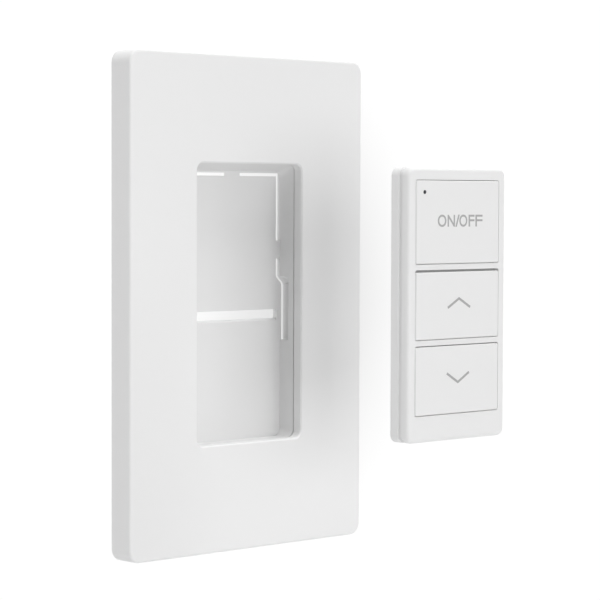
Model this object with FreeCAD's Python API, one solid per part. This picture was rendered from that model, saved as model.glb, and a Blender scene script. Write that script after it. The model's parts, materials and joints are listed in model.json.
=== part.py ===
import FreeCAD, Part
import math
import os

# Wireless wall switch: a screwless cover plate, a cradle screwed to the wall box,
# and a slim remote shown pulled straight out in front of its pocket.
# Millimetres. +Z is up, the front faces -Y, and the wall surface is the plane y = 0.
# The origin is midway between the two wall screws.

# Cover plate
PLATE_WIDTH = 74.1
PLATE_HEIGHT = 118.0
PLATE_DEPTH = 6.66
PLATE_CORNER = 3.0
PLATE_EDGE_ROUND = 0.6
PLATE_FRONT_WALL = 2.6
PLATE_SIDE_WALL = 2.0
OPENING_WIDTH = 33.3
OPENING_HEIGHT = 66.7
OPENING_CORNER = 1.8
OPENING_EDGE_BEVEL = 0.35
GUIDE_RIB_WALL = 1.2
STIFFENER_WALL = 1.0
BACK_RIB_GAP = 0.15
CATCH_LENGTH = 8.0
CATCH_RISE = 0.45
CATCH_DEPTH = 0.8
CATCH_GAP = 0.1
CATCH_SIDE_Z = 38.0
CATCH_END_X = 20.0
PRY_NOTCH_WIDTH = 8.0
PRY_NOTCH_DEPTH = 1.0

# Cradle
CRADLE_FIT = 0.4
CRADLE_WALL = 1.4
COLLAR_FRONT_GAP = 0.3
COLLAR_CORNER = 3.4
FLOOR_Y = 0.2
FLOOR_WALL = 1.2
POCKET_SIDE_DRAFT = 0.85
POCKET_TOP_SLOPE = 1.75
POCKET_BOTTOM_DRAFT = 0.05
PAN_WALL = 1.8
PAN_RIM_WALL = 1.6
PAN_GAP = 0.86
PAN_RIM_WIDTH = 4.2
PAN_CORNER = 2.0
RIB_WALL = 1.2
RIB_X = 12.0
RIB_Z = 22.0
SCREW_MARGIN = 8.3
WALL_SCREW_HOLE = 4.4
WALL_SCREW_BOSS = 9.0
WALL_SCREW_BOSS_HEIGHT = 0.8

# Slits and slot through the cradle floor
SLIT_TOP_GAP = 0.42
SLIT_TOP_HEIGHT = 0.75
SLIT_TOP_START = 2.5
SLIT_END_BEVEL = 1.1
SLIT_MARGIN = 1.38
SLIT_WIDTH = 1.6
SLIT_BRIDGE_TOP = 14.7
SLIT_BRIDGE_BOTTOM = 10.3
SLIT_STEP_TOP = 5.9
SLIT_STEP_BOTTOM = 4.1
SLIT_STEP = 1.88
SLIT_STEP_ROUND = 1.1
SLIT_LOW_END = -9.7
RECESS_RISE = 2.5
SLOT_TOP = -2.1
SLOT_BOTTOM = -4.3
SLOT_MARGIN = 1.14
SLOT_CORNER = 0.4
SLOT_BEVEL = 0.55

# Steel keepers staked to the back of the cradle floor
KEEPER_SIDE_MARGIN = 1.5
KEEPER_END_MARGIN = 2.0
KEEPER_WALL = 0.8
STAKE_INSET = 2.5
STAKE_WIDTH = 2.2
STAKE_FIT = 0.1
STAKE_HEAD_WIDTH = 3.6
STAKE_HEAD_HEIGHT = 0.6

# Remote
SIDE_GAP = 0.4
FINGER_GAP = 5.87
TOP_TUCK = 0.17
REMOTE_CORNER = 1.8
SEAT_GAP = 0.3
PULLED_OUT = 68.24
FRONT_EDGE_ROUND = 0.75
BACK_EDGE_BEVEL = 0.45
PARTING_BEVEL = 0.2

# Front housing
BEZEL_WALL = 1.0
FRONT_SIDE_WALL = 0.75
FRONT_SHELL_DEPTH = 2.05
SIDE_RIM = 2.1
TOP_RIM = 2.62
DIVIDER = 1.2
CHIN = 5.73
WINDOW_CORNER = 0.55
WINDOW_SHARES = (18.2, 15.15, 15.1)

# Rear housing
GROOVE_WIDTH = 0.85
GROOVE_DEPTH = 0.3
GROOVE_GAP = 0.1
LIP_FIT = 0.08
LIP_WALL = 0.8
LIP_GAP = 0.1
SHELL_CATCH_LENGTH = 5.0
SHELL_CATCH_RISE = 0.25
SHELL_CATCH_START = 1.3
SHELL_CATCH_WALL = 0.3
SHELL_CATCH_FIT = 0.06
SHELL_CATCH_END_INSET = 13.0
REAR_SIDE_WALL = 1.65
CAVITY_CORNER = 0.6
BACK_WALL = 1.0
BOARD_RIB_WALL = 1.0
BOARD_RIB_REACH = 0.9
BOARD_RIBS_FROM_TOP = (3.4, 17.4)
BOARD_RIBS_FROM_BOTTOM = (21.4, 3.4)

# Buttons
CAP_GAP = 0.12
CAP_TOP_GAPS = (0.13, 0.5, 0.22)
CAP_PROUD = 0.15
CAP_EDGE_BEVEL = 0.2
CAP_TOP_WALL = 0.7
CAP_SIDE_WALL = 0.8
FLANGE_REACH = 0.3
FLANGE_SIDE_GAP = 0.17
FLANGE_WALL = 0.4
FLANGE_GAP = 0.06
BUTTON_TRAVEL = 0.25
PLUNGER_WIDTH = 3.0
PLUNGER_GAP = 0.05

# Indicator
INDICATOR_SIDE_INSET = 2.7
INDICATOR_TOP_INSET = 2.65
PIPE_WIDTH = 0.86
PIPE_FIT = 0.02
PIPE_FLANGE_WIDTH = 1.8
PIPE_FLANGE_WALL = 0.3
LED_LENGTH = 1.6
LED_WIDTH = 0.8
LED_HEIGHT = 0.4

# Keypad and circuit board
MAT_GAP = 0.34
MAT_WALL = 0.3
MAT_PAD_WIDTH = 4.0
MAT_RELIEF_WIDTH = 6.0
MAT_RELIEF_DEPTH = 0.1
DOME_WIDTH = 5.0
DOME_TOP_WIDTH = 2.4
DOME_ROOM = 0.3
DOME_RISE = 0.22
DOME_WALL = 0.06
DOME_FIT = 0.03
BOARD_WALL = 0.6
BOARD_FIT = 0.2
BOARD_CORNER = 1.2
BOARD_KEY_WIDTH = 2.4
CHIP_SIZE = 5.0
CHIP_HEIGHT = 0.85
CHIP_X = -5.0
CRYSTAL_LENGTH = 3.2
CRYSTAL_WIDTH = 2.5
CRYSTAL_HEIGHT = 0.7
CRYSTAL_X = 3.0
CRYSTAL_EDGE_ROUND = 0.2

# Battery, its contacts and its door
CELL_FROM_BOTTOM = 21.6
CELL_HEIGHT = 1.6
CELL_TOP_RIM = 1.2
CELL_TOP_HEIGHT = 0.15
CELL_SEAT = 0.15
CELL_DOOR_GAP = 0.05
CONTACT_WALL = 0.12
CONTACT_HUB_WIDTH = 5.0
CONTACT_ARM_INSET = 1.8
CONTACT_ARM_WIDTH = 1.6
CONTACT_ARMS = 3
CLIP_SPREAD = 70.0
CLIP_FOOT_WIDTH = 4.0
CLIP_FOOT_LENGTH = 1.8
CLIP_FIT = 0.03
CLIP_HEIGHT = 0.75
DOOR_MARGIN = 3.2
DOOR_COVER = 0.2
DOOR_WALL = 0.55
DOOR_FIT = 0.15
DOOR_RING_FIT = 0.35
DOOR_RING_WALL = 0.5
DOOR_LUG_REACH = 1.15
DOOR_LUG_WALL = 0.4
DOOR_LUG_GAP = 0.06
DOOR_LUG_SPREAD = 30.0
DOOR_LUGS = 3
DOOR_TURN = 25.0
DOOR_NOTCH_SPREAD = 36.0
COIN_SLOT_LENGTH = 12.0
COIN_SLOT_WIDTH = 1.6
COIN_SLOT_DEPTH = 0.3

# Magnets
MAGNET_WIDTH = 16.0
MAGNET_HEIGHT = 4.0
MAGNET_WALL = 1.0
MAGNET_FROM_TOP = 6.0
MAGNET_FROM_BOTTOM = 4.9
MAGNET_FIT = 0.1
MAGNET_RIB_WALL = 0.7
MAGNET_RIB_HEIGHT = 0.45

# Worked-out sizes and places: the plate and its pocket
TINY = 0.01
PAST = 1.0
PLATE_FRONT_Y = -PLATE_DEPTH
PLATE_INNER_Y = PLATE_FRONT_Y + PLATE_FRONT_WALL
PAN_RIM_FRONT = PLATE_DEPTH - PLATE_FRONT_WALL - PAN_GAP
BACK_RIB_Y = -PAN_RIM_FRONT - BACK_RIB_GAP
COLLAR_FRONT_Y = PLATE_INNER_Y + COLLAR_FRONT_GAP
FLOOR_BACK_Y = FLOOR_Y + FLOOR_WALL
COLLAR_HALF_WIDTH = OPENING_WIDTH / 2 + CRADLE_WALL
COLLAR_HALF_HEIGHT = OPENING_HEIGHT / 2 + CRADLE_WALL
POCKET_HALF_WIDTH = OPENING_WIDTH / 2 - POCKET_SIDE_DRAFT
POCKET_TOP = OPENING_HEIGHT / 2 - POCKET_TOP_SLOPE
POCKET_BOTTOM = -OPENING_HEIGHT / 2 + POCKET_BOTTOM_DRAFT
SLIT_TOP_Z = POCKET_TOP - SLIT_TOP_GAP
SLIT_INNER_X = POCKET_HALF_WIDTH - SLIT_MARGIN
SLIT_OUTER_X = SLIT_INNER_X + SLIT_WIDTH
RECESS_X = SLIT_OUTER_X + SLIT_STEP
SLOT_HALF_WIDTH = POCKET_HALF_WIDTH - SLOT_MARGIN
PAN_HALF_WIDTH = PLATE_WIDTH / 2 - PLATE_SIDE_WALL - CRADLE_FIT
PAN_HALF_HEIGHT = PLATE_HEIGHT / 2 - PLATE_SIDE_WALL - CRADLE_FIT
WALL_SCREW_SPACING = OPENING_HEIGHT + 2 * SCREW_MARGIN

# Worked-out sizes and places: the remote, as depths behind its front face
LIP_START = BEZEL_WALL + LIP_GAP
MAT_START = BEZEL_WALL + FLANGE_GAP + FLANGE_WALL + BUTTON_TRAVEL + MAT_GAP
BOARD_START = MAT_START + MAT_WALL + DOME_ROOM
BOARD_END = BOARD_START + BOARD_WALL
CELL_START = BOARD_END + CELL_SEAT
CELL_END = CELL_START + CELL_HEIGHT
DOOR_START = CELL_END + CELL_DOOR_GAP
REMOTE_DEPTH = DOOR_START + DOOR_WALL
BACK_WALL_START = REMOTE_DEPTH - BACK_WALL
REAR_SHELL_START = FRONT_SHELL_DEPTH + GROOVE_WIDTH
LUG_END = BACK_WALL_START - DOOR_LUG_GAP
LUG_START = LUG_END - DOOR_LUG_WALL

# Worked-out sizes and places: the remote's width and height, and what follows from them
REMOTE_WIDTH = 2 * (POCKET_HALF_WIDTH - SIDE_GAP)
REMOTE_HEIGHT = POCKET_TOP - POCKET_BOTTOM + TOP_TUCK - FINGER_GAP
REMOTE_HALF_WIDTH = REMOTE_WIDTH / 2
REMOTE_HALF_HEIGHT = REMOTE_HEIGHT / 2
REMOTE_Z = POCKET_TOP + TOP_TUCK - REMOTE_HALF_HEIGHT
REMOTE_FRONT_Y = FLOOR_Y - SEAT_GAP - REMOTE_DEPTH - PULLED_OUT
LIP_OUTER_INSET = FRONT_SIDE_WALL + LIP_FIT
LIP_INNER_INSET = LIP_OUTER_INSET + LIP_WALL
FLANGE_HALF_WIDTH = REMOTE_HALF_WIDTH - LIP_INNER_INSET - FLANGE_SIDE_GAP
WINDOW_HALF_WIDTH = REMOTE_HALF_WIDTH - SIDE_RIM
INDICATOR_X = -WINDOW_HALF_WIDTH + INDICATOR_SIDE_INSET
INDICATOR_Z = REMOTE_HALF_HEIGHT - TOP_RIM - INDICATOR_TOP_INSET
DOOR_WIDTH = REMOTE_WIDTH - 2 * DOOR_MARGIN
RING_OUTER = DOOR_WIDTH / 2 - DOOR_COVER - DOOR_LUG_REACH
CELL_WIDTH = 2 * (RING_OUTER - DOOR_RING_WALL - DOOR_RING_FIT)
CELL_TOP_WIDTH = CELL_WIDTH - 2 * CELL_TOP_RIM
CELL_Z = -REMOTE_HALF_HEIGHT + CELL_FROM_BOTTOM
CONTACT_ARM_LENGTH = CELL_TOP_WIDTH / 2 - CONTACT_ARM_INSET
MAGNET_UPPER_Z = REMOTE_HALF_HEIGHT - MAGNET_FROM_TOP
MAGNET_LOWER_Z = -REMOTE_HALF_HEIGHT + MAGNET_FROM_BOTTOM
KEEPER_WIDTH = MAGNET_WIDTH + 2 * KEEPER_SIDE_MARGIN
KEEPER_HEIGHT = MAGNET_HEIGHT + 2 * KEEPER_END_MARGIN
STAKE_X = KEEPER_WIDTH / 2 - STAKE_INSET
CHIP_TOP_LIMIT = MAGNET_UPPER_Z - MAGNET_HEIGHT / 2 - MAGNET_FIT - MAGNET_RIB_WALL
CHIP_Z = (CHIP_TOP_LIMIT + CELL_Z + DOOR_WIDTH / 2) / 2


def remote_y(depth):
    """Depth behind the remote's front face, as a place along Y."""
    return REMOTE_FRONT_Y + depth


def remote_z(height):
    """Height above the remote's middle, as a place along Z."""
    return REMOTE_Z + height


def window_spans():
    """Bottom and top of each button window, measured from the remote's middle."""
    room = REMOTE_HEIGHT - TOP_RIM - CHIN - (len(WINDOW_SHARES) - 1) * DIVIDER
    spans = []
    top = REMOTE_HALF_HEIGHT - TOP_RIM
    for share in WINDOW_SHARES:
        height = room * share / sum(WINDOW_SHARES)
        spans.append((top - height, top))
        top -= height + DIVIDER
    return spans


def outline(x0, x1, z0, z1, radius, y):
    """Rounded rectangle seen from the front, at depth y."""
    bend = radius * (1 - math.cos(math.pi / 4))

    def at(x, z):
        return FreeCAD.Vector(x, y, z)

    edges = [
        Part.LineSegment(at(x0 + radius, z0), at(x1 - radius, z0)),
        Part.Arc(at(x1 - radius, z0), at(x1 - bend, z0 + bend), at(x1, z0 + radius)),
        Part.LineSegment(at(x1, z0 + radius), at(x1, z1 - radius)),
        Part.Arc(at(x1, z1 - radius), at(x1 - bend, z1 - bend), at(x1 - radius, z1)),
        Part.LineSegment(at(x1 - radius, z1), at(x0 + radius, z1)),
        Part.Arc(at(x0 + radius, z1), at(x0 + bend, z1 - bend), at(x0, z1 - radius)),
        Part.LineSegment(at(x0, z1 - radius), at(x0, z0 + radius)),
        Part.Arc(at(x0, z0 + radius), at(x0 + bend, z0 + bend), at(x0 + radius, z0)),
    ]
    return Part.Wire([edge.toShape() for edge in edges])


def slab(x0, x1, z0, z1, radius, y0, y1):
    """Rounded rectangular block between two depths."""
    face = Part.Face(outline(x0, x1, z0, z1, radius, y0))
    return face.extrude(FreeCAD.Vector(0, y1 - y0, 0))


def block(x0, x1, y0, y1, z0, z1):
    """Square-cornered block between two opposite corners."""
    return Part.makeBox(x1 - x0, y1 - y0, z1 - z0, FreeCAD.Vector(x0, y0, z0))


def corner_points(half_width, low, high, y):
    """Corners of an upright rectangle at depth y, in turn."""
    return [
        FreeCAD.Vector(-half_width, y, low),
        FreeCAD.Vector(half_width, y, low),
        FreeCAD.Vector(half_width, y, high),
        FreeCAD.Vector(-half_width, y, high),
    ]


def tapered_block(front, back):
    """Solid with flat sides between two rectangles, each given by its corners."""
    rings = [front, back]
    for i in range(len(front)):
        j = (i + 1) % len(front)
        rings.append([front[i], front[j], back[j], back[i]])
    faces = [Part.Face(Part.makePolygon(ring + ring[:1])) for ring in rings]
    solid = Part.makeSolid(Part.makeShell(faces))
    if solid.Volume < 0:
        solid.reverse()
    return solid


def disc(width, x, z, y0, y1):
    """Round bar along Y."""
    base = FreeCAD.Vector(x, y0, z)
    return Part.makeCylinder(width / 2, y1 - y0, base, FreeCAD.Vector(0, 1, 0))


def post(width, x, z, y0, y1):
    """Square bar along Y."""
    half = width / 2
    return block(x - half, x + half, y0, y1, z - half, z + half)


def mirrored(shape):
    """The same shape on the other side of the middle plane x = 0."""
    return shape.mirror(FreeCAD.Vector(0, 0, 0), FreeCAD.Vector(1, 0, 0))


def both_sides(shape):
    """A shape and its mirror image, as a list."""
    return [shape, mirrored(shape)]


def edges_at(shape, y, half_width, half_height, z_middle=0.0):
    """Edges in the plane y that lie outside a rectangle about the Y axis."""
    found = []
    for edge in shape.Edges:
        box = edge.BoundBox
        flat = abs(box.YMin - y) < TINY and abs(box.YMax - y) < TINY
        reach_x = max(abs(box.XMin), abs(box.XMax))
        reach_z = max(abs(box.ZMin - z_middle), abs(box.ZMax - z_middle))
        if flat and (reach_x > half_width or reach_z > half_height):
            found.append(edge)
    return found


def profile_bar(points, along, length):
    """Closed polygon pushed along a direction."""
    wire = Part.makePolygon(points + points[:1])
    return Part.Face(wire).extrude(along * length)


# Cover plate


def catch_on_side(z):
    """Wedge on the inside of the right wall that snaps behind the cradle rim."""
    wall_x = PLATE_WIDTH / 2 - PLATE_SIDE_WALL
    tip_x = wall_x - CRADLE_FIT - CATCH_RISE
    back_y = -PAN_RIM_FRONT + PAN_RIM_WALL + CATCH_DEPTH
    front_y = back_y - CATCH_DEPTH + CATCH_GAP
    low = z - CATCH_LENGTH / 2
    points = [
        FreeCAD.Vector(wall_x + CRADLE_FIT, front_y, low),
        FreeCAD.Vector(tip_x, front_y, low),
        FreeCAD.Vector(tip_x, (front_y + back_y) / 2, low),
        FreeCAD.Vector(wall_x + CRADLE_FIT, back_y, low),
    ]
    return profile_bar(points, FreeCAD.Vector(0, 0, 1), CATCH_LENGTH)


def catch_on_end(x, sign):
    """The same wedge on the top (sign 1) or bottom (sign -1) wall."""
    wall_z = PLATE_HEIGHT / 2 - PLATE_SIDE_WALL
    tip_z = wall_z - CRADLE_FIT - CATCH_RISE
    back_y = -PAN_RIM_FRONT + PAN_RIM_WALL + CATCH_DEPTH
    front_y = back_y - CATCH_DEPTH + CATCH_GAP
    low = x - CATCH_LENGTH / 2
    points = [
        FreeCAD.Vector(low, front_y, sign * (wall_z + CRADLE_FIT)),
        FreeCAD.Vector(low, front_y, sign * tip_z),
        FreeCAD.Vector(low, (front_y + back_y) / 2, sign * tip_z),
        FreeCAD.Vector(low, back_y, sign * (wall_z + CRADLE_FIT)),
    ]
    return profile_bar(points, FreeCAD.Vector(1, 0, 0), CATCH_LENGTH)


def guide_rib():
    """Rib behind the front wall that drops round the cradle collar."""
    inner_x = max(COLLAR_HALF_WIDTH, RECESS_X + CRADLE_WALL) + CRADLE_FIT
    inner_z = COLLAR_HALF_HEIGHT + CRADLE_FIT
    outer_x = inner_x + GUIDE_RIB_WALL
    outer_z = inner_z + GUIDE_RIB_WALL
    start_y = PLATE_INNER_Y - TINY
    rib = block(-outer_x, outer_x, start_y, BACK_RIB_Y, -outer_z, outer_z)
    return rib.cut(block(-inner_x, inner_x, start_y, BACK_RIB_Y, -inner_z, inner_z))


def stiffeners():
    """Low ribs across the back of the front wall, above and below the collar."""
    reach = PLATE_WIDTH / 2 - PLATE_SIDE_WALL + CRADLE_FIT
    start_y = PLATE_INNER_Y - TINY
    middle = (COLLAR_HALF_HEIGHT + PLATE_HEIGHT / 2) / 2
    half = STIFFENER_WALL / 2
    return [
        block(-reach, reach, start_y, BACK_RIB_Y, z - half, z + half) for z in (-middle, middle)
    ]


def cover_plate():
    half_w = PLATE_WIDTH / 2
    half_h = PLATE_HEIGHT / 2
    inner_w = half_w - PLATE_SIDE_WALL
    inner_h = half_h - PLATE_SIDE_WALL
    inner_corner = PLATE_CORNER - PLATE_SIDE_WALL
    plate = slab(-half_w, half_w, -half_h, half_h, PLATE_CORNER, PLATE_FRONT_Y, 0)
    front_edges = edges_at(plate, PLATE_FRONT_Y, 0, 0)
    plate = plate.makeFillet(PLATE_EDGE_ROUND, front_edges)
    plate = plate.cut(slab(-inner_w, inner_w, -inner_h, inner_h, inner_corner, PLATE_INNER_Y, PAST))
    open_w = OPENING_WIDTH / 2
    open_h = OPENING_HEIGHT / 2
    opening = slab(-open_w, open_w, -open_h, open_h, OPENING_CORNER, PLATE_FRONT_Y - PAST, PAST)
    plate = plate.cut(opening)
    rim = []
    for edge in edges_at(plate, PLATE_FRONT_Y, 0, 0):
        box = edge.BoundBox
        if max(abs(box.XMin), abs(box.XMax)) < open_w + TINY and abs(box.ZMax) < open_h + TINY:
            rim.append(edge)
    plate = plate.makeChamfer(OPENING_EDGE_BEVEL, rim)
    extras = [guide_rib()] + stiffeners()
    for z in (-CATCH_SIDE_Z, CATCH_SIDE_Z):
        extras += both_sides(catch_on_side(z))
    for x in (-CATCH_END_X, CATCH_END_X):
        extras += [catch_on_end(x, 1), catch_on_end(x, -1)]
    plate = plate.fuse(extras)
    half_notch = PRY_NOTCH_WIDTH / 2
    notch = block(
        -half_notch, half_notch, -PRY_NOTCH_DEPTH, PAST, -half_h - PAST, -inner_h + PAST
    )
    return plate.cut(notch).removeSplitter()


# Cradle


def pocket_tool():
    """The pocket: open at the front as wide as the plate opening, with a sloped top."""
    half_height = OPENING_HEIGHT / 2
    front = corner_points(OPENING_WIDTH / 2, -half_height, half_height, COLLAR_FRONT_Y)
    back = corner_points(POCKET_HALF_WIDTH, POCKET_BOTTOM, POCKET_TOP, FLOOR_Y)
    tool = tapered_block(front, back)
    depth = FLOOR_Y - COLLAR_FRONT_Y
    corners = [edge for edge in tool.Edges if edge.BoundBox.YLength > depth - TINY]
    return tool.makeFillet(OPENING_CORNER, corners)


def slit_outline():
    """Lower run of the right-hand slit, which steps outwards on its way down, as a flat
    face on the floor."""
    step = SLIT_STEP
    left = [
        FreeCAD.Vector(SLIT_INNER_X, FLOOR_Y, SLIT_BRIDGE_BOTTOM),
        FreeCAD.Vector(SLIT_INNER_X, FLOOR_Y, SLIT_STEP_TOP),
        FreeCAD.Vector(SLIT_INNER_X + step, FLOOR_Y, SLIT_STEP_BOTTOM),
        FreeCAD.Vector(SLIT_INNER_X + step, FLOOR_Y, SLIT_LOW_END),
    ]
    right = [
        FreeCAD.Vector(RECESS_X, FLOOR_Y, SLIT_LOW_END),
        FreeCAD.Vector(RECESS_X, FLOOR_Y, SLIT_STEP_BOTTOM),
        FreeCAD.Vector(SLIT_OUTER_X, FLOOR_Y, SLIT_STEP_TOP),
        FreeCAD.Vector(SLIT_OUTER_X, FLOOR_Y, SLIT_BRIDGE_BOTTOM),
    ]
    points = left + right
    return Part.Face(Part.makePolygon(points + points[:1]))


def step_edges(shape):
    """Edges along Y at the bends of the stepped slit."""
    found = []
    for edge in shape.Edges:
        box = edge.BoundBox
        along_y = box.YLength > TINY and box.XLength < TINY and box.ZLength < TINY
        at_bend = min(abs(box.ZMin - SLIT_STEP_TOP), abs(box.ZMin - SLIT_STEP_BOTTOM)) < TINY
        if along_y and at_bend:
            found.append(edge)
    return found


def stepped_slit():
    """The lower run of the right-hand slit, cut right through the floor."""
    tool = slit_outline().extrude(FreeCAD.Vector(0, FLOOR_WALL + PAST, 0))
    return tool.makeFillet(SLIT_STEP_ROUND, step_edges(tool))


def side_recess():
    """Undercut at the foot of the right-hand wall that leaves the stepped slit clear."""
    points = [
        FreeCAD.Vector(SLIT_INNER_X, FLOOR_Y, SLIT_LOW_END),
        FreeCAD.Vector(RECESS_X, FLOOR_Y, SLIT_LOW_END),
        FreeCAD.Vector(RECESS_X, FLOOR_Y, SLIT_STEP_BOTTOM),
        FreeCAD.Vector(SLIT_OUTER_X, FLOOR_Y, SLIT_STEP_TOP),
        FreeCAD.Vector(SLIT_INNER_X, FLOOR_Y, SLIT_STEP_TOP),
    ]
    return profile_bar(points, FreeCAD.Vector(0, -1, 0), RECESS_RISE)


def top_slit():
    """Right-hand slit along the top of the floor, its inner end bevelled towards the back."""
    start = FLOOR_Y - TINY
    end = FLOOR_BACK_Y + PAST
    low = SLIT_TOP_Z - SLIT_TOP_HEIGHT
    points = [
        FreeCAD.Vector(SLIT_TOP_START, start, low),
        FreeCAD.Vector(SLIT_OUTER_X, start, low),
        FreeCAD.Vector(SLIT_OUTER_X, end, low),
        FreeCAD.Vector(SLIT_TOP_START - SLIT_END_BEVEL, end, low),
        FreeCAD.Vector(SLIT_TOP_START - SLIT_END_BEVEL, FLOOR_BACK_Y, low),
    ]
    return profile_bar(points, FreeCAD.Vector(0, 0, 1), SLIT_TOP_HEIGHT)


def slot_bevel():
    """Bevel along the lower front edge of the wide slot."""
    half = SLOT_HALF_WIDTH
    points = [
        FreeCAD.Vector(-half, FLOOR_Y - TINY, SLOT_BOTTOM + TINY),
        FreeCAD.Vector(-half, FLOOR_Y - TINY, SLOT_BOTTOM - SLOT_BEVEL),
        FreeCAD.Vector(-half, FLOOR_Y + SLOT_BEVEL, SLOT_BOTTOM + TINY),
    ]
    return profile_bar(points, FreeCAD.Vector(1, 0, 0), 2 * half)


def floor_cuts():
    """Slits along the top and sides of the pocket floor, and the wide slot."""
    start = FLOOR_Y - TINY
    end = FLOOR_BACK_Y + PAST
    side_run = block(SLIT_INNER_X, SLIT_OUTER_X, start, end, SLIT_BRIDGE_TOP, SLIT_TOP_Z)
    cuts = both_sides(top_slit()) + both_sides(side_run)
    cuts += both_sides(stepped_slit()) + both_sides(side_recess())
    half = SLOT_HALF_WIDTH
    cuts.append(slab(-half, half, SLOT_BOTTOM, SLOT_TOP, SLOT_CORNER, start, end))
    cuts.append(slot_bevel())
    return cuts


def collar():
    """Outside of the pocket walls, with a bulge on each side behind the side recess."""
    w = COLLAR_HALF_WIDTH
    h = COLLAR_HALF_HEIGHT
    body = slab(-w, w, -h, h, COLLAR_CORNER, COLLAR_FRONT_Y, FLOOR_BACK_Y)
    low = SLIT_LOW_END - CRADLE_WALL
    high = SLIT_STEP_TOP + CRADLE_WALL
    reach = RECESS_X + CRADLE_WALL
    bulge = slab(-reach, reach, low, high, CRADLE_WALL, COLLAR_FRONT_Y, FLOOR_BACK_Y)
    return body.fuse(bulge)


def pan():
    """Mounting pan against the wall, with a raised rim that the cover snaps over."""
    w = PAN_HALF_WIDTH
    h = PAN_HALF_HEIGHT
    rim_back = -PAN_RIM_FRONT + PAN_RIM_WALL
    inset = PAN_RIM_WIDTH
    flat = slab(-w + inset, w - inset, -h + inset, h - inset, PAN_CORNER, -PAN_RIM_FRONT, 0)
    rim = slab(-w, w, -h, h, PAN_CORNER, -PAN_RIM_FRONT, rim_back)
    dish_in = inset + PAN_RIM_WALL
    dish_w = w - dish_in
    dish_h = h - dish_in
    dish = slab(-dish_w, dish_w, -dish_h, dish_h, PAN_CORNER, -PAN_RIM_FRONT - PAST, -PAN_WALL)
    return flat.fuse(rim).cut(dish)


def pan_ribs():
    """Ribs that tie the collar to the raised rim."""
    top_y = -PAN_RIM_FRONT
    half = RIB_WALL / 2
    across = PAN_HALF_WIDTH - PAN_RIM_WIDTH
    up = PAN_HALF_HEIGHT - PAN_RIM_WIDTH
    ribs = []
    collar_x = COLLAR_HALF_WIDTH - CRADLE_WALL / 2
    collar_z = COLLAR_HALF_HEIGHT - CRADLE_WALL / 2
    for z in (-RIB_Z, RIB_Z):
        ribs.append(block(collar_x, across, top_y, 0, z - half, z + half))
    ribs.append(block(RIB_X - half, RIB_X + half, top_y, 0, collar_z, up))
    ribs.append(block(RIB_X - half, RIB_X + half, top_y, 0, -up, -collar_z))
    return ribs + [mirrored(rib) for rib in ribs]


def keeper_places():
    """Height of each keeper: level with a magnet of the seated remote."""
    return [remote_z(MAGNET_UPPER_Z), remote_z(MAGNET_LOWER_Z)]


def stakes():
    """Posts with melted heads that hold the keepers to the back of the floor."""
    found = []
    plate_end = FLOOR_BACK_Y + KEEPER_WALL
    for z in keeper_places():
        for x in (-STAKE_X, STAKE_X):
            found.append(post(STAKE_WIDTH, x, z, FLOOR_BACK_Y - TINY, plate_end + TINY))
            found.append(post(STAKE_HEAD_WIDTH, x, z, plate_end, plate_end + STAKE_HEAD_HEIGHT))
    return found


def cradle():
    body = pan()
    bosses = []
    holes = []
    for z in (-WALL_SCREW_SPACING / 2, WALL_SCREW_SPACING / 2):
        front = -PAN_WALL - WALL_SCREW_BOSS_HEIGHT
        bosses.append(disc(WALL_SCREW_BOSS, 0, z, front, 0))
        holes.append(disc(WALL_SCREW_HOLE, 0, z, front - PAST, PAST))
    body = body.fuse([collar()] + pan_ribs() + bosses)
    body = body.cut([pocket_tool()] + floor_cuts() + holes)
    return body.fuse(stakes()).removeSplitter()


def keeper(z):
    w = KEEPER_WIDTH / 2
    h = KEEPER_HEIGHT / 2
    start = FLOOR_BACK_Y
    end = FLOOR_BACK_Y + KEEPER_WALL
    plate = block(-w, w, start, end, z - h, z + h)
    hole = STAKE_WIDTH + 2 * STAKE_FIT
    return plate.cut([post(hole, x, z, start - PAST, end + PAST) for x in (-STAKE_X, STAKE_X)])


# Remote housings


def remote_slab(inset, start, end, corner):
    """Block of the remote's outline, drawn in by an inset, between two depths."""
    w = REMOTE_HALF_WIDTH - inset
    h = REMOTE_HALF_HEIGHT - inset
    low = remote_z(-h)
    high = remote_z(h)
    return slab(-w, w, low, high, corner, remote_y(start), remote_y(end))


def shell_catches(reach, play):
    """Low blocks round the lip: the catches themselves, or the recesses they snap into."""
    start = remote_y(SHELL_CATCH_START - play)
    end = remote_y(SHELL_CATCH_START + SHELL_CATCH_WALL + play)
    half = SHELL_CATCH_LENGTH / 2 + play
    inner_x = REMOTE_HALF_WIDTH - LIP_OUTER_INSET - TINY
    inner_z = REMOTE_HALF_HEIGHT - LIP_OUTER_INSET - TINY
    found = []
    for z in (REMOTE_HALF_HEIGHT - SHELL_CATCH_END_INSET, SHELL_CATCH_END_INSET - REMOTE_HALF_HEIGHT):
        side = block(inner_x, inner_x + reach, start, end, remote_z(z - half), remote_z(z + half))
        found += both_sides(side)
    found.append(block(-half, half, start, end, remote_z(inner_z), remote_z(inner_z + reach)))
    found.append(block(-half, half, start, end, remote_z(-inner_z - reach), remote_z(-inner_z)))
    return found


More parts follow.
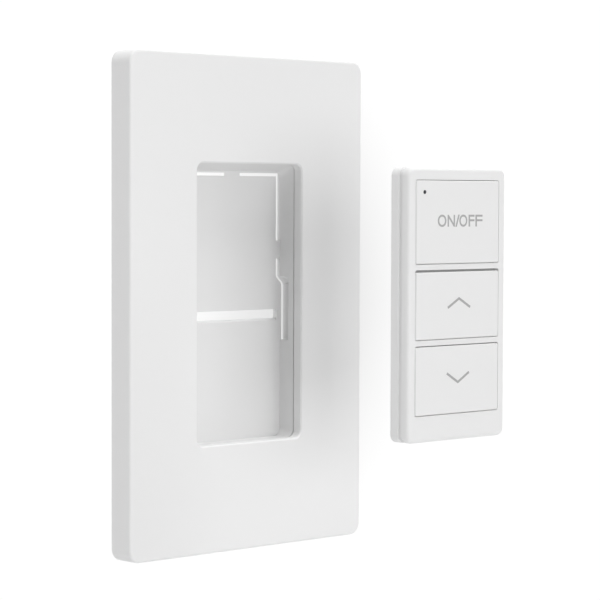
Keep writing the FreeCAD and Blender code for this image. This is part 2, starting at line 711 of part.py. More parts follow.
def front_housing():
    body = remote_slab(0, 0, FRONT_SHELL_DEPTH, REMOTE_CORNER)
    body = body.makeFillet(FRONT_EDGE_ROUND, edges_at(body, remote_y(0), 0, 0))
    parting = edges_at(body, remote_y(FRONT_SHELL_DEPTH), 0, 0)
    body = body.makeChamfer(PARTING_BEVEL, parting)
    corner = REMOTE_CORNER - FRONT_SIDE_WALL
    body = body.cut(remote_slab(FRONT_SIDE_WALL, BEZEL_WALL, FRONT_SHELL_DEPTH + PAST, corner))
    body = body.cut(shell_catches(SHELL_CATCH_RISE + SHELL_CATCH_FIT, SHELL_CATCH_FIT))
    w = WINDOW_HALF_WIDTH
    for low, high in window_spans():
        z0 = remote_z(low)
        z1 = remote_z(high)
        window = slab(-w, w, z0, z1, WINDOW_CORNER, remote_y(-PAST), remote_y(BEZEL_WALL + PAST))
        body = body.cut(window)
    return body.removeSplitter()


def wedge_sector(outer, inner, start_angle, spread, y0, y1, z):
    """Part of a ring about the battery's axis, between two angles."""
    ring = disc(2 * outer, 0, z, y0, y1).cut(disc(2 * inner, 0, z, y0, y1))
    reach = 3 * outer
    points = [FreeCAD.Vector(0, y0, z)]
    for share in (0.0, 0.5, 1.0):
        angle = math.radians(start_angle + share * spread)
        points.append(
            FreeCAD.Vector(reach * math.cos(angle), y0, z + reach * math.sin(angle))
        )
    cutter = profile_bar(points, FreeCAD.Vector(0, 1, 0), y1 - y0)
    return ring.common(cutter)


def lug_angle(number):
    """Middle of a lug of the closed door, in degrees round the battery's axis."""
    return 90.0 + number * 360.0 / DOOR_LUGS


def board_ribs():
    """Small ribs inside the rear housing that the circuit board sits on."""
    inner_w = REMOTE_HALF_WIDTH - REAR_SIDE_WALL
    half = BOARD_RIB_WALL / 2
    start = remote_y(BOARD_END)
    end = remote_y(BACK_WALL_START + TINY)
    places = [REMOTE_HALF_HEIGHT - drop for drop in BOARD_RIBS_FROM_TOP]
    places += [rise - REMOTE_HALF_HEIGHT for rise in BOARD_RIBS_FROM_BOTTOM]
    ribs = []
    for z in places:
        low = remote_z(z - half)
        high = remote_z(z + half)
        rib = block(inner_w - BOARD_RIB_REACH, inner_w + TINY, start, end, low, high)
        ribs += both_sides(rib)
    return ribs


def magnet_frame(z):
    """Low rib round a magnet, standing on the inside of the back wall."""
    w = MAGNET_WIDTH / 2 + MAGNET_FIT
    h = MAGNET_HEIGHT / 2 + MAGNET_FIT
    rib = MAGNET_RIB_WALL
    start = remote_y(BACK_WALL_START - MAGNET_RIB_HEIGHT)
    end = remote_y(BACK_WALL_START)
    middle = remote_z(z)
    outer = block(-w - rib, w + rib, start, end + TINY, middle - h - rib, middle + h + rib)
    return outer.cut(block(-w, w, start, end, middle - h, middle + h))


def battery_opening():
    """Cuts in the back wall for the battery door: its seat, its hole and the lug notches."""
    z = remote_z(CELL_Z)
    seat = disc(DOOR_WIDTH + 2 * DOOR_FIT, 0, z, remote_y(DOOR_START), remote_y(REMOTE_DEPTH + PAST))
    hole_width = 2 * (RING_OUTER + DOOR_FIT)
    start = remote_y(BACK_WALL_START - PAST)
    cuts = [seat, disc(hole_width, 0, z, start, remote_y(REMOTE_DEPTH))]
    outer = RING_OUTER + DOOR_LUG_REACH + DOOR_FIT
    for number in range(DOOR_LUGS):
        middle = lug_angle(number) - DOOR_LUG_SPREAD / 2 - DOOR_TURN
        first = middle - (DOOR_NOTCH_SPREAD - DOOR_LUG_SPREAD) / 2
        notch = wedge_sector(
            outer, RING_OUTER, first, DOOR_NOTCH_SPREAD, start, remote_y(DOOR_START), z
        )
        cuts.append(notch)
    return cuts


def rear_housing():
    body = remote_slab(0, REAR_SHELL_START, REMOTE_DEPTH, REMOTE_CORNER)
    body = body.makeChamfer(BACK_EDGE_BEVEL, edges_at(body, remote_y(REMOTE_DEPTH), 0, 0))
    parting = edges_at(body, remote_y(REAR_SHELL_START), 0, 0)
    body = body.makeChamfer(PARTING_BEVEL, parting)
    lip_corner = REMOTE_CORNER - LIP_OUTER_INSET
    lip = remote_slab(LIP_OUTER_INSET, LIP_START, REAR_SHELL_START + TINY, lip_corner)
    band_start = FRONT_SHELL_DEPTH + GROOVE_GAP
    band_corner = REMOTE_CORNER - GROOVE_DEPTH
    band = remote_slab(GROOVE_DEPTH, band_start, REAR_SHELL_START + TINY, band_corner)
    body = body.fuse([lip, band] + shell_catches(SHELL_CATCH_RISE, 0))
    body = body.cut(remote_slab(LIP_INNER_INSET, 0, BACK_WALL_START, CAVITY_CORNER))
    body = body.fuse(board_ribs() + [magnet_frame(z) for z in (MAGNET_UPPER_Z, MAGNET_LOWER_Z)])
    return body.cut(battery_opening()).removeSplitter()


# Buttons


def button(number, with_hole=False):
    """Hollow cap with a flange behind the bezel and a plunger over its dome switch."""
    low, high = window_spans()[number]
    w = WINDOW_HALF_WIDTH - CAP_GAP
    z0 = remote_z(low + CAP_GAP)
    z1 = remote_z(high - CAP_TOP_GAPS[number])
    front = remote_y(-CAP_PROUD)
    flange_y = remote_y(BEZEL_WALL + FLANGE_GAP)
    end = flange_y + FLANGE_WALL
    corner = WINDOW_CORNER - CAP_GAP
    cap = slab(-w, w, z0, z1, corner, front, end)
    cap = cap.makeChamfer(CAP_EDGE_BEVEL, edges_at(cap, front, 0, 0))
    flange_low = remote_z(low - FLANGE_REACH)
    flange_high = remote_z(high + FLANGE_REACH)
    out = FLANGE_HALF_WIDTH
    body = cap.fuse(block(-out, out, flange_y, end, flange_low, flange_high))
    wall = CAP_SIDE_WALL
    inside = remote_y(CAP_TOP_WALL)
    body = body.cut(block(-w + wall, w - wall, inside, end + PAST, z0 + wall, z1 - wall))
    plunger_end = remote_y(MAT_START - BUTTON_TRAVEL - PLUNGER_GAP)
    middle = remote_z((low + high) / 2)
    half = PLUNGER_WIDTH / 2
    plunger = block(-half, half, inside - TINY, plunger_end, middle - half, middle + half)
    body = body.fuse(plunger)
    if with_hole:
        hole_width = PIPE_WIDTH + 2 * PIPE_FIT
        hole = disc(hole_width, INDICATOR_X, remote_z(INDICATOR_Z), front - PAST, end + PAST)
        body = body.cut(hole)
    return body.removeSplitter()


def light_pipe():
    """Short clear rod in the corner of the top button, with a flange behind the cap."""
    z = remote_z(INDICATOR_Z)
    back = remote_y(CAP_TOP_WALL)
    rod = disc(PIPE_WIDTH, INDICATOR_X, z, remote_y(-CAP_PROUD), back + TINY)
    flange = post(PIPE_FLANGE_WIDTH, INDICATOR_X, z, back, back + PIPE_FLANGE_WALL)
    return rod.fuse(flange).removeSplitter()


# Keypad and circuit board


def button_middles():
    return [(low + high) / 2 for low, high in window_spans()]


def keypad_mat():
    inset = LIP_INNER_INSET + BOARD_FIT
    corner = BOARD_CORNER / 2
    mat = remote_slab(inset, MAT_START, MAT_START + MAT_WALL, corner)
    front = remote_y(MAT_START)
    relief_end = remote_y(MAT_START + MAT_RELIEF_DEPTH)
    for z in button_middles():
        relief = post(MAT_RELIEF_WIDTH, 0, remote_z(z), front, relief_end)
        pad = post(MAT_PAD_WIDTH, 0, remote_z(z), front, relief_end)
        mat = mat.cut(relief.cut(pad))
    start = remote_y(MAT_START - PAST)
    end = remote_y(MAT_START + MAT_WALL + PAST)
    window = block(
        INDICATOR_X - LED_LENGTH, INDICATOR_X + LED_LENGTH, start, end,
        remote_z(INDICATOR_Z - LED_LENGTH), remote_z(INDICATOR_Z + LED_LENGTH),
    )
    return mat.cut(window).removeSplitter()


def square_corners(width, z, y):
    """Corners of an upright square about the plane x = 0."""
    half = width / 2
    return corner_points(half, z - half, z + half, y)


def dome(z):
    """Thin four-sided steel snap dome lying on the board."""
    foot = remote_y(BOARD_START - DOME_FIT)
    top = foot - DOME_RISE
    outer = tapered_block(square_corners(DOME_TOP_WIDTH, z, top), square_corners(DOME_WIDTH, z, foot))
    inner_top = square_corners(DOME_TOP_WIDTH - DOME_WALL, z, top + DOME_WALL)
    inner_foot = square_corners(DOME_WIDTH - DOME_WALL, z, foot + DOME_WALL)
    return outer.cut(tapered_block(inner_top, inner_foot))


def dome_switches():
    return Part.makeCompound([dome(remote_z(z)) for z in button_middles()])


def circuit_board():
    board = remote_slab(LIP_INNER_INSET + BOARD_FIT, BOARD_START, BOARD_END, BOARD_CORNER)
    start = remote_y(BOARD_START - PAST)
    end = remote_y(BOARD_END + PAST)
    half_h = REMOTE_HALF_HEIGHT - LIP_INNER_INSET - BOARD_FIT
    key = post(BOARD_KEY_WIDTH, 0, remote_z(half_h), start, end)
    return board.cut(key)


def board_block(width, height, rise, x, z):
    """Square component on the back of the circuit board."""
    return block(
        x - width / 2, x + width / 2, remote_y(BOARD_END), remote_y(BOARD_END + rise),
        remote_z(z - height / 2), remote_z(z + height / 2),
    )


def control_chip():
    return board_block(CHIP_SIZE, CHIP_SIZE, CHIP_HEIGHT, CHIP_X, CHIP_Z)


def crystal():
    body = board_block(CRYSTAL_LENGTH, CRYSTAL_WIDTH, CRYSTAL_HEIGHT, CRYSTAL_X, CHIP_Z)
    top_edges = edges_at(body, remote_y(BOARD_END + CRYSTAL_HEIGHT), 0, 0)
    return body.makeFillet(CRYSTAL_EDGE_ROUND, top_edges)


def indicator_led():
    z = remote_z(INDICATOR_Z)
    return block(
        INDICATOR_X - LED_LENGTH / 2, INDICATOR_X + LED_LENGTH / 2,
        remote_y(BOARD_START - LED_HEIGHT), remote_y(BOARD_START),
        z - LED_WIDTH / 2, z + LED_WIDTH / 2,
    )


# Battery, contacts and door


def coin_cell():
    """Round can with the smaller, raised negative face towards the board."""
    z = remote_z(CELL_Z)
    can_start = remote_y(CELL_START + CELL_TOP_HEIGHT)
    can = disc(CELL_WIDTH, 0, z, can_start, remote_y(CELL_END))
    cap = disc(CELL_TOP_WIDTH, 0, z, remote_y(CELL_START), can_start + TINY)
    return can.fuse(cap).removeSplitter()


def negative_contact():
    """Sprung star between the board and the negative face of the cell."""
    z = remote_z(CELL_Z)
    start = remote_y(BOARD_END)
    end = start + CONTACT_WALL
    star = disc(CONTACT_HUB_WIDTH, 0, z, start, end)
    half = CONTACT_ARM_WIDTH / 2
    for number in range(CONTACT_ARMS):
        arm = block(-half, half, start, end, z, z + CONTACT_ARM_LENGTH)
        arm.rotate(FreeCAD.Vector(0, 0, z), FreeCAD.Vector(0, 1, 0), number * 360.0 / CONTACT_ARMS)
        star = star.fuse(arm)
    return star.removeSplitter()


def positive_contact():
    """Curved clip beside the can, with a foot on the board."""
    z = remote_z(CELL_Z)
    inner = CELL_WIDTH / 2 + CLIP_FIT
    outer = inner + CONTACT_WALL
    start = remote_y(BOARD_END)
    clip = wedge_sector(
        outer, inner, 90.0 - CLIP_SPREAD / 2, CLIP_SPREAD, start, start + CLIP_HEIGHT, z
    )
    half = CLIP_FOOT_WIDTH / 2
    low = z + inner + CONTACT_WALL / 2
    foot = block(-half, half, start, start + CONTACT_WALL, low, z + outer + CLIP_FOOT_LENGTH)
    return clip.fuse(foot).removeSplitter()


def battery_door():
    """Round coin-slot door with a ring and three bayonet lugs."""
    z = remote_z(CELL_Z)
    door_end = remote_y(REMOTE_DEPTH)
    cover = disc(DOOR_WIDTH, 0, z, remote_y(DOOR_START + CELL_DOOR_GAP / 2), door_end)
    ring_start = remote_y(LUG_START)
    inner = RING_OUTER - DOOR_RING_WALL
    ring = disc(2 * RING_OUTER, 0, z, ring_start, remote_y(DOOR_START + CELL_DOOR_GAP))
    ring = ring.cut(disc(2 * inner, 0, z, ring_start - PAST, door_end))
    body = cover.fuse(ring)
    for number in range(DOOR_LUGS):
        lug = wedge_sector(
            RING_OUTER + DOOR_LUG_REACH, inner, lug_angle(number) - DOOR_LUG_SPREAD / 2,
            DOOR_LUG_SPREAD, ring_start, remote_y(LUG_END), z,
        )
        body = body.fuse(lug)
    half_l = COIN_SLOT_LENGTH / 2
    half_w = COIN_SLOT_WIDTH / 2
    floor = door_end - COIN_SLOT_DEPTH
    slot = slab(-half_l, half_l, z - half_w, z + half_w, half_w - TINY, floor, door_end + PAST)
    return body.cut(slot).removeSplitter()


def magnet(z):
    w = MAGNET_WIDTH / 2
    h = MAGNET_HEIGHT / 2
    start = remote_y(BACK_WALL_START - MAGNET_WALL)
    return block(-w, w, start, remote_y(BACK_WALL_START), remote_z(z - h), remote_z(z + h))


def all_parts():
    upper, lower = keeper_places()
    return {
        "cover_plate": cover_plate(),
        "cradle": cradle(),
        "upper_keeper": keeper(upper),
        "lower_keeper": keeper(lower),
        "front_housing": front_housing(),
        "rear_housing": rear_housing(),
        "on_off_button": button(0, with_hole=True),
        "up_button": button(1),
        "down_button": button(2),
        "light_pipe": light_pipe(),
        "keypad_mat": keypad_mat(),
        "dome_switches": dome_switches(),
        "circuit_board": circuit_board(),
        "control_chip": control_chip(),
        "crystal": crystal(),
        "indicator_led": indicator_led(),
        "coin_cell": coin_cell(),
        "positive_contact": positive_contact(),
        "negative_contact": negative_contact(),
        "battery_door": battery_door(),
        "upper_magnet": magnet(MAGNET_UPPER_Z),
        "lower_magnet": magnet(MAGNET_LOWER_Z),
    }


os.makedirs("parts", exist_ok=True)
for name, shape in all_parts().items():
    shape.exportStep("parts/" + name + ".step")
    print(name, "solids", len(shape.Solids), "volume", round(shape.Volume, 2), "valid", shape.isValid())
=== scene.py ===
import json
import math

import bpy
import numpy as np
from mathutils import Matrix, Vector


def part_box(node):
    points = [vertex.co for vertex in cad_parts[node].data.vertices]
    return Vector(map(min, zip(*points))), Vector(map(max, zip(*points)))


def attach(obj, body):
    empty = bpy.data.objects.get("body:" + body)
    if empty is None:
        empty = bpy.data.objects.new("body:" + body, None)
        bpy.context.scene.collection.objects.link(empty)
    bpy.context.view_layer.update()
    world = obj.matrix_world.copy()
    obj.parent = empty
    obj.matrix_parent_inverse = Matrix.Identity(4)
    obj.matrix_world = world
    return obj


# Wireless wall switch: white satin mouldings, a pocket with slits, and a slim remote
# with printed legends. Metres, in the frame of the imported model: +Z up, front facing -Y.

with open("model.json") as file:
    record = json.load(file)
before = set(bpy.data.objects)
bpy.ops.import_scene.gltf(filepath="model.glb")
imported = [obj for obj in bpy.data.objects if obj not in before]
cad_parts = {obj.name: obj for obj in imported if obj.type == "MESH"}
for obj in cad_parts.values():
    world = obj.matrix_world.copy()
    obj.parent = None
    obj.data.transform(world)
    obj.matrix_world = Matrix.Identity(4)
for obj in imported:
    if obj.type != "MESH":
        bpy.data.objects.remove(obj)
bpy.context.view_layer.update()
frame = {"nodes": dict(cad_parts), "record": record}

MM = 0.001

# Camera, at the photograph's viewing angle
CAMERA_PLACE = (-0.3665, -0.4139, 0.0249)
CAMERA_YAW = math.radians(43.22)
CAMERA_PITCH = math.radians(2.52)
CAMERA_ROLL = math.radians(0.19)
CAMERA_LENS = 137.58
CAMERA_SENSOR = 36.0
CAMERA_NEAR = 0.01
CAMERA_FAR = 20.0

# Moulded plastic: colour and roughness of each slot
PLASTICS = {
    "plate_white": ((0.82, 0.82, 0.82), 0.5),
    "cradle_white": ((0.75, 0.75, 0.75), 0.55),
    "housing_white": ((0.80, 0.80, 0.80), 0.5),
    "button_white": ((0.80, 0.80, 0.80), 0.45),
    "smoked_plastic": ((0.06, 0.06, 0.065), 0.25),
    "mat_rubber": ((0.55, 0.55, 0.55), 0.7),
    "chip_black": ((0.02, 0.02, 0.02), 0.6),
    "led_white": ((0.8, 0.78, 0.6), 0.3),
}
GRAIN_SCALE = 2600.0
GRAIN_DETAIL = 3.0
GRAIN_STRENGTH = 0.25
GRAIN_HEIGHT = 0.004 * MM
CLOUD_SCALE = 60.0
CLOUD_DETAIL = 2.0
CLOUD_SWING = 0.04
PLASTIC_SPECULAR = 0.35

# Painted shade in the gaps round the button caps: grey on each cap from the flange backwards
PAINTED_GAP_SHADE_DEPTH = 1.1 * MM
PAINTED_GAP_SHADE_GREY = (0.42, 0.42, 0.42)
PAINTED_GAP_SHADE_FADE = 0.01 * MM

# Painted shade in the groove between the two housings: grey over the groove's depths
PAINTED_GROOVE_SHADE_REACH = 1.05 * MM
PAINTED_GROOVE_SHADE_GREY = (0.765, 0.765, 0.765)
PAINTED_GROOVE_SHADE_FADE = 0.05 * MM

# Rolled metal: colour and roughness of each slot
METALS = {
    "keeper_steel": ((0.55, 0.55, 0.56), 0.4),
    "spring_steel": ((0.66, 0.65, 0.62), 0.3),
    "can_steel": ((0.68, 0.68, 0.68), 0.25),
    "magnet_nickel": ((0.62, 0.61, 0.58), 0.2),
}
SCRATCH_SCALE = (60.0, 3000.0, 3000.0)
SCRATCH_STRENGTH = 0.2
SCRATCH_HEIGHT = 0.01 * MM
SCRATCH_SWING = 0.08

# Circuit board
BOARD_SCALE = 220.0
BOARD_GREEN = (0.02, 0.16, 0.06)
BOARD_DARK_GREEN = (0.02, 0.13, 0.05)
BOARD_RUN_GREEN = (0.03, 0.22, 0.09)
BOARD_ROUGHNESS = 0.3

# Legend ink
INK_GREY = (0.39, 0.39, 0.39)
INK_SCALE = 1500.0
INK_ROUGHNESS = (0.55, 0.7)

# Printed legends, in mm from the middle of the remote
LETTERS = (
    ("O", -6.52, -3.82),
    ("N", -3.44, -1.10),
    ("/", -0.97, 0.39),
    ("O", 0.29, 2.83),
    ("F", 3.24, 5.14),
    ("F", 5.45, 7.73),
)
LETTER_HEIGHT = 2.64
LETTER_MIDDLE = 18.15
LETTER_BOLDNESS = 0.015
F_STEM_SHARE = 0.31
F_STEM = 0.46
CHEVRON_STROKE = 0.53
UP_CHEVRON = ((-3.2, -0.72), (0.35, 1.25), (3.9, -0.72))
DOWN_CHEVRON = ((-3.4, -14.95), (0.12, -17.0), (3.65, -14.95))
LEGEND_RAISE = 0.02 * MM

# Floor
FLOOR_DROP = 0.36
FLOOR_RADIUS = 1.15
FLOOR_SIDES = 96
FLOOR_GREY = (0.7, 0.7, 0.7)
FLOOR_ROUGHNESS = 0.8

# Room: light of the walls in front, how light they look, and the wall behind
FRONT_LEVEL = 0.05
FRONT_SHOWN = 0.50
BACK_LEVEL = 1.02
LEVEL_CHANGE = 0.25
SHADE_DEPTH = 0.27
SHADE_RISE = 0.0044
SHADE_SPREAD = (0.061, 0.118, 1.0)

# Lights: name, place, size and power
LIGHTS = (
    ("key_light", (-0.40, -1.13, 0.03), 0.5, 4.7),
    ("side_light", (-1.18, -0.08, 0.05), 0.5, 0.46),
    ("fill_light", (0.82, -0.90, 0.90), 1.0, 6.4),
    ("front_light", (0.25, -1.45, 0.10), 1.4, 3.9),
    ("top_light", (0.0, -0.30, 1.50), 0.6, 12.8),
    ("back_light", (1.10, 0.40, 0.80), 0.3, 2.4),
)


def mesh_object(name, points, faces):
    """Object at the origin with its place in its mesh."""
    mesh = bpy.data.meshes.new(name)
    mesh.from_pydata([tuple(point) for point in points], [], faces)
    mesh.update()
    made = bpy.data.objects.new(name, mesh)
    bpy.context.scene.collection.objects.link(made)
    return made


# Materials


def add_node(tree, kind, values=None, **settings):
    """New shader node with its settings and the values of its inputs."""
    node = tree.nodes.new("ShaderNode" + kind)
    for setting, value in settings.items():
        setattr(node, setting, value)
    for socket, value in (values or {}).items():
        node.inputs[socket].default_value = value
    return node


def opaque(colour):
    return (*colour, 1.0)


def node_material(name):
    """Node material with its tree, its Principled shader and the object coordinates."""
    material = bpy.data.materials.new(name)
    material.use_nodes = True
    tree = material.node_tree
    coords = add_node(tree, "TexCoord").outputs["Object"]
    return material, tree, tree.nodes["Principled BSDF"], coords


def surface_bump(tree, shader, height, strength, distance):
    """Bump on the shader from a height pattern."""
    bump = add_node(tree, "Bump", {"Strength": strength, "Distance": distance})
    tree.links.new(height, bump.inputs["Height"])
    tree.links.new(bump.outputs["Normal"], shader.inputs["Normal"])


def surface_gloss(tree, shader, pattern, low, high):
    """Roughness on the shader: a pattern of 0 to 1 spread between two values."""
    spread = add_node(tree, "MapRange", {"To Min": low, "To Max": high})
    tree.links.new(pattern, spread.inputs["Value"])
    tree.links.new(spread.outputs["Result"], shader.inputs["Roughness"])


def satin_plastic(name, colour, roughness):
    """Moulded plastic: a fine spark-eroded grain as bump, and faint cloudy gloss changes."""
    material, tree, shader, coords = node_material(name)
    grain = add_node(tree, "TexNoise", {"Scale": GRAIN_SCALE, "Detail": GRAIN_DETAIL})
    cloud = add_node(tree, "TexNoise", {"Scale": CLOUD_SCALE, "Detail": CLOUD_DETAIL})
    tree.links.new(coords, grain.inputs["Vector"])
    tree.links.new(coords, cloud.inputs["Vector"])
    surface_bump(tree, shader, grain.outputs["Fac"], GRAIN_STRENGTH, GRAIN_HEIGHT)
    low = roughness - CLOUD_SWING
    high = roughness + CLOUD_SWING
    surface_gloss(tree, shader, cloud.outputs["Fac"], low, high)
    shader.inputs["Base Color"].default_value = opaque(colour)
    shader.inputs["Specular IOR Level"].default_value = PLASTIC_SPECULAR
    return material


def banded_plastic(name, colour, roughness, band_colour, band, fade):
    """Satin plastic with another colour over a band of depths: full where the distance
    from the band's middle is less than half its width, and gone a short way past that."""
    first, last = band
    reach = (last - first) / 2
    material = satin_plastic(name, colour, roughness)
    tree = material.node_tree
    shader = tree.nodes["Principled BSDF"]
    coords = add_node(tree, "TexCoord")
    parts = add_node(tree, "SeparateXYZ")
    offset = add_node(tree, "Math", {1: (first + last) / 2}, operation="SUBTRACT")
    distance = add_node(tree, "Math", operation="ABSOLUTE")
    edges = {"From Min": reach, "From Max": reach + fade, "To Min": 1.0, "To Max": 0.0}
    share = add_node(tree, "MapRange", edges)
    colours = {"A": opaque(colour), "B": opaque(band_colour)}
    pick = add_node(tree, "Mix", colours, data_type="RGBA")
    link = tree.links.new
    link(coords.outputs["Object"], parts.inputs["Vector"])
    link(parts.outputs["Y"], offset.inputs[0])
    link(offset.outputs["Value"], distance.inputs[0])
    link(distance.outputs["Value"], share.inputs["Value"])
    link(share.outputs["Result"], pick.inputs["Factor"])
    link(pick.outputs["Result"], shader.inputs["Base Color"])
    return material


def button_plastic_painted_gap_shade(name, colour, roughness):
    """Satin plastic painted grey from the flange backwards: painted shade that darkens
    the gaps round the cap."""
    front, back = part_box("on_off_button")
    # painted shade: grey on the cap's depths behind its front, seen only in the gaps
    band = (front.y + PAINTED_GAP_SHADE_DEPTH, back.y)
    return banded_plastic(name, colour, roughness, PAINTED_GAP_SHADE_GREY, band, PAINTED_GAP_SHADE_FADE)


def housing_plastic_painted_groove_shade(name, colour, roughness):
    """Satin plastic with painted shade: grey over the groove behind the front housing."""
    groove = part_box("front_housing")[1].y
    # painted shade: grey over the depths of the groove
    band = (groove, groove + PAINTED_GROOVE_SHADE_REACH)
    return banded_plastic(name, colour, roughness, PAINTED_GROOVE_SHADE_GREY, band, PAINTED_GROOVE_SHADE_FADE)


def brushed_metal(name, colour, roughness):
    """Rolled sheet metal: long scratches along X in the bump and the gloss."""
    material, tree, shader, coords = node_material(name)
    stretch = add_node(tree, "Mapping", {"Scale": SCRATCH_SCALE})
    scratch = add_node(tree, "TexNoise", {"Scale": 1.0})
    tree.links.new(coords, stretch.inputs["Vector"])
    tree.links.new(stretch.outputs["Vector"], scratch.inputs["Vector"])
    surface_bump(tree, shader, scratch.outputs["Fac"], SCRATCH_STRENGTH, SCRATCH_HEIGHT)
    low = roughness - SCRATCH_SWING
    high = roughness + SCRATCH_SWING
    surface_gloss(tree, shader, scratch.outputs["Fac"], low, high)
    shader.inputs["Base Color"].default_value = opaque(colour)
    shader.inputs["Metallic"].default_value = 1.0
    return material


def solder_mask(name):
    """Green lacquered board with a faint brick pattern of copper runs under the lacquer."""
    material, tree, shader, coords = node_material(name)
    greens = {
        "Scale": BOARD_SCALE,
        "Color1": opaque(BOARD_GREEN),
        "Color2": opaque(BOARD_DARK_GREEN),
        "Mortar": opaque(BOARD_RUN_GREEN),
    }
    runs = add_node(tree, "TexBrick", greens)
    turn = add_node(tree, "Mapping", {"Rotation": (math.pi / 2, 0, 0)})
    tree.links.new(coords, turn.inputs["Vector"])
    tree.links.new(turn.outputs["Vector"], runs.inputs["Vector"])
    tree.links.new(runs.outputs["Color"], shader.inputs["Base Color"])
    shader.inputs["Roughness"].default_value = BOARD_ROUGHNESS
    return material


def legend_ink(name):
    """Printed legend: flat grey ink, a little uneven in its gloss."""
    material, tree, shader, coords = node_material(name)
    noise = add_node(tree, "TexNoise", {"Scale": INK_SCALE})
    tree.links.new(coords, noise.inputs["Vector"])
    surface_gloss(tree, shader, noise.outputs["Fac"], *INK_ROUGHNESS)
    shader.inputs["Base Color"].default_value = opaque(INK_GREY)
    return material


def finishes():
    """One material for each slot of the record."""
    made = {"board_green": solder_mask("board_green")}
    special = {"button_white": button_plastic_painted_gap_shade, "housing_white": housing_plastic_painted_groove_shade}
    for slot, (colour, roughness) in PLASTICS.items():
        made[slot] = special.get(slot, satin_plastic)(slot, colour, roughness)
    for slot, (colour, roughness) in METALS.items():
        made[slot] = brushed_metal(slot, colour, roughness)
    return made


def dress_cad_nodes(materials):
    """Each carried-over node takes the material of its slot."""
    slots = {row["node"]: row["material_slot"] for row in frame["record"]["subparts"]}
    for name, node in frame["nodes"].items():
        node.data.materials.clear()
        node.data.materials.append(materials[slots[name]])


# Printed legends


def legend_place(button):
    """Where a button's legend goes: the middle of the remote, and the face's depth."""
    low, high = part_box("front_housing")
    return (low.x + high.x) / 2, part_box(button)[0].y, (low.z + high.z) / 2


def letter_shape(letter):
    """Points and faces of one letter as a thin solid, in the font's own units."""
    curve = bpy.data.curves.new("legend_letter", "FONT")
    curve.body = letter
    curve.extrude = LEGEND_RAISE / 2
    curve.offset = LETTER_BOLDNESS
    text = bpy.data.objects.new("legend_letter", curve)
    bpy.context.scene.collection.objects.link(text)
    bpy.context.view_layer.update()
    evaluated = text.evaluated_get(bpy.context.evaluated_depsgraph_get())
    mesh = bpy.data.meshes.new_from_object(evaluated)
    bpy.data.objects.remove(text)
    flat = np.zeros(len(mesh.vertices) * 3)
    mesh.vertices.foreach_get("co", flat)
    faces = [tuple(face.vertices) for face in mesh.polygons]
    bpy.data.meshes.remove(mesh)
    return flat.reshape(-1, 3), faces


def on_off_legend(material):
    """The words ON/OFF, as thin raised ink on the top button: each letter is stretched
    between its own left and right end, and all of them to one height. The stem of an F
    keeps one width, and its arms take the stretch."""
    shapes = [letter_shape(letter) for letter, _, _ in LETTERS]
    heights = np.concatenate([points[:, 1] for points, _ in shapes])
    middle_x, face_y, middle_z = legend_place("on_off_button")
    placed = []
    faces = []
    count = 0
    for (points, corners), (letter, left, right) in zip(shapes, LETTERS):
        across = (points[:, 0] - points[:, 0].min()) / np.ptp(points[:, 0])
        if letter == "F":
            stem = F_STEM / (right - left)
            across = np.interp(across, (0, F_STEM_SHARE, 1), (0, stem, 1))
        up = (points[:, 1] - heights.min()) / np.ptp(heights) - 0.5
        x = middle_x + (left + across * (right - left)) * MM
        z = middle_z + (LETTER_MIDDLE + up * LETTER_HEIGHT) * MM
        placed.append(np.stack([x, face_y - points[:, 2], z], axis=1))
        faces += [tuple(count + i for i in face) for face in corners]
        count += len(points)
    made = mesh_object("on_off_legend", np.concatenate(placed), faces)
    made.data.materials.append(material)
    return made


def chevron(name, corners, button, material):
    """Flat bar of even width bent once at its middle point: each corner is moved
    half the stroke to both sides along its mitre line, front and back."""
    line = np.array(corners)
    runs = line[1:] - line[:-1]
    runs /= np.linalg.norm(runs, axis=1)[:, None]
    sides = np.stack([-runs[:, 1], runs[:, 0]], axis=1)
    bisector = sides[0] + sides[1]
    bisector /= np.linalg.norm(bisector)
    mitre = bisector / (bisector @ sides[0])
    across = np.stack([sides[0], mitre, sides[1]]) * CHEVRON_STROKE / 2
    outline = np.concatenate([line + across, (line - across)[::-1]]) * MM
    middle_x, face_y, middle_z = legend_place(button)
    layers = []
    for depth in (-LEGEND_RAISE / 2, LEGEND_RAISE / 2):
        y = np.full(len(outline), face_y + depth)
        layers.append(np.stack([middle_x + outline[:, 0], y, middle_z + outline[:, 1]], axis=1))
    count = len(outline)
    front = [(0, 1, 4, 5), (1, 2, 3, 4)]
    back = [tuple(count + i for i in reversed(face)) for face in front]
    rim = [(i, (i + 1) % count, count + (i + 1) % count, count + i) for i in range(count)]
    made = mesh_object(name, np.concatenate(layers), front + back + rim)
    made.data.materials.append(material)
    return made


def legends():
    """The ink legends, each riding on the body of its button."""
    ink = legend_ink("legend_grey")
    placed = [
        (on_off_legend(ink), "on_off_key"),
        (chevron("up_chevron", UP_CHEVRON, "up_button", ink), "up_key"),
        (chevron("down_chevron", DOWN_CHEVRON, "down_button", ink), "down_key"),
    ]
    for piece, body in placed:
        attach(piece, body)


# Studio


def studio_floor():
    """Pale round floor well below the switch."""
    ring = np.linspace(0, 2 * math.pi, FLOOR_SIDES, endpoint=False)
    x = FLOOR_RADIUS * np.cos(ring)
    y = FLOOR_RADIUS * np.sin(ring)
    points = np.stack([x, y, np.full(FLOOR_SIDES, -FLOOR_DROP)], axis=1)
    floor = mesh_object("studio_floor", points, [tuple(range(FLOOR_SIDES))])
    floor.data.materials.append(satin_plastic("floor_pale", FLOOR_GREY, FLOOR_ROUGHNESS))


def camera_turn():
    """The photograph's view direction: yaw, then pitch, then roll."""
    turn = Matrix.Rotation(-CAMERA_YAW, 4, "Z")
    turn = turn @ Matrix.Rotation(math.pi / 2 - CAMERA_PITCH, 4, "X")
    return turn @ Matrix.Rotation(CAMERA_ROLL, 4, "Z")


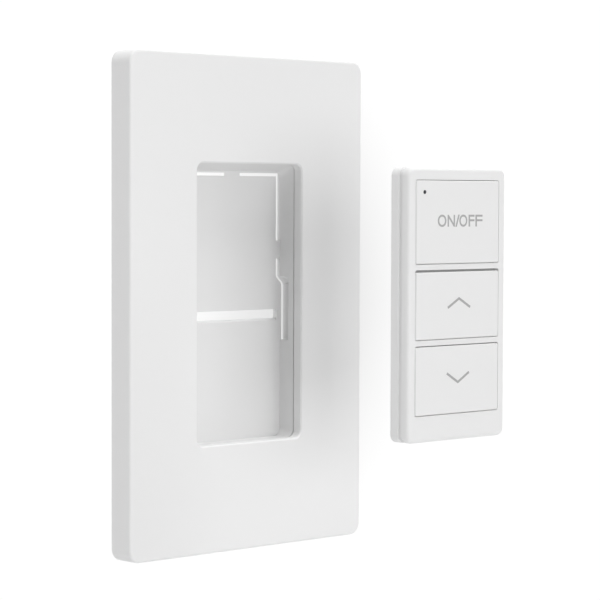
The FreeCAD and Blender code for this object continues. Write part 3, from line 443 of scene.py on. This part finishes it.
def wall_shade(tree, coords):
    """The remote's soft shadow on the far wall of the room: an upright oval of directions,
    darkest at its middle and gone at its rim, as a factor on the wall's light."""
    turn = camera_turn()
    place = {
        "Location": (turn @ Vector((0, SHADE_RISE, -1)))[:],
        "Rotation": turn.to_euler()[:],
        "Scale": SHADE_SPREAD,
    }
    oval = add_node(tree, "Mapping", place, vector_type="TEXTURE")
    inward = add_node(tree, "TexGradient", gradient_type="SPHERICAL")
    ends = {"To Min": 1.0, "To Max": 1.0 - SHADE_DEPTH}
    factor = add_node(tree, "MapRange", ends, interpolation_type="SMOOTHSTEP")
    tree.links.new(coords, oval.inputs["Vector"])
    tree.links.new(oval.outputs["Vector"], inward.inputs["Vector"])
    tree.links.new(inward.outputs["Fac"], factor.inputs["Value"])
    return factor.outputs["Result"]


def studio_world():
    """White room behind the switch. In front of it the walls look pale grey, and give
    less light than they show."""
    world = bpy.data.worlds.new("white_room")
    world.use_nodes = True
    tree = world.node_tree
    background = tree.nodes["Background"]
    coords = add_node(tree, "TexCoord").outputs["Generated"]
    parts = add_node(tree, "SeparateXYZ")
    rays = add_node(tree, "LightPath")
    front = add_node(tree, "MapRange", {"To Min": FRONT_LEVEL, "To Max": FRONT_SHOWN})
    ends = {"From Min": -LEVEL_CHANGE, "From Max": LEVEL_CHANGE, "To Max": BACK_LEVEL}
    level = add_node(tree, "MapRange", ends, interpolation_type="SMOOTHSTEP")
    shaded = add_node(tree, "Math", operation="MULTIPLY")
    link = tree.links.new
    link(coords, parts.inputs["Vector"])
    link(parts.outputs["Y"], level.inputs["Value"])
    link(rays.outputs["Is Camera Ray"], front.inputs["Value"])
    link(front.outputs["Result"], level.inputs["To Min"])
    link(level.outputs["Result"], shaded.inputs[0])
    link(wall_shade(tree, coords), shaded.inputs[1])
    link(shaded.outputs["Value"], background.inputs["Strength"])
    background.inputs["Color"].default_value = (1.0, 1.0, 1.0, 1.0)
    bpy.context.scene.world = world


def area_light(name, place, size, power):
    """Soft square light turned towards the middle of the plate."""
    lamp = bpy.data.lights.new(name, "AREA")
    lamp.size = size
    lamp.energy = power
    made = bpy.data.objects.new(name, lamp)
    made.location = place
    made.rotation_euler = (-Vector(place)).to_track_quat("-Z", "Y").to_euler()
    made.visible_camera = False
    bpy.context.scene.collection.objects.link(made)


def camera():
    """Camera at the photograph's place."""
    data = bpy.data.cameras.new("photo_view")
    data.lens = CAMERA_LENS
    data.sensor_width = CAMERA_SENSOR
    data.clip_start = CAMERA_NEAR
    data.clip_end = CAMERA_FAR
    made = bpy.data.objects.new("photo_view", data)
    made.matrix_world = Matrix.Translation(CAMERA_PLACE) @ camera_turn()
    bpy.context.scene.collection.objects.link(made)
    bpy.context.scene.camera = made


dress_cad_nodes(finishes())
legends()
studio_floor()
studio_world()
for light in LIGHTS:
    area_light(*light)
camera()
bpy.context.scene.view_settings.view_transform = "Standard"
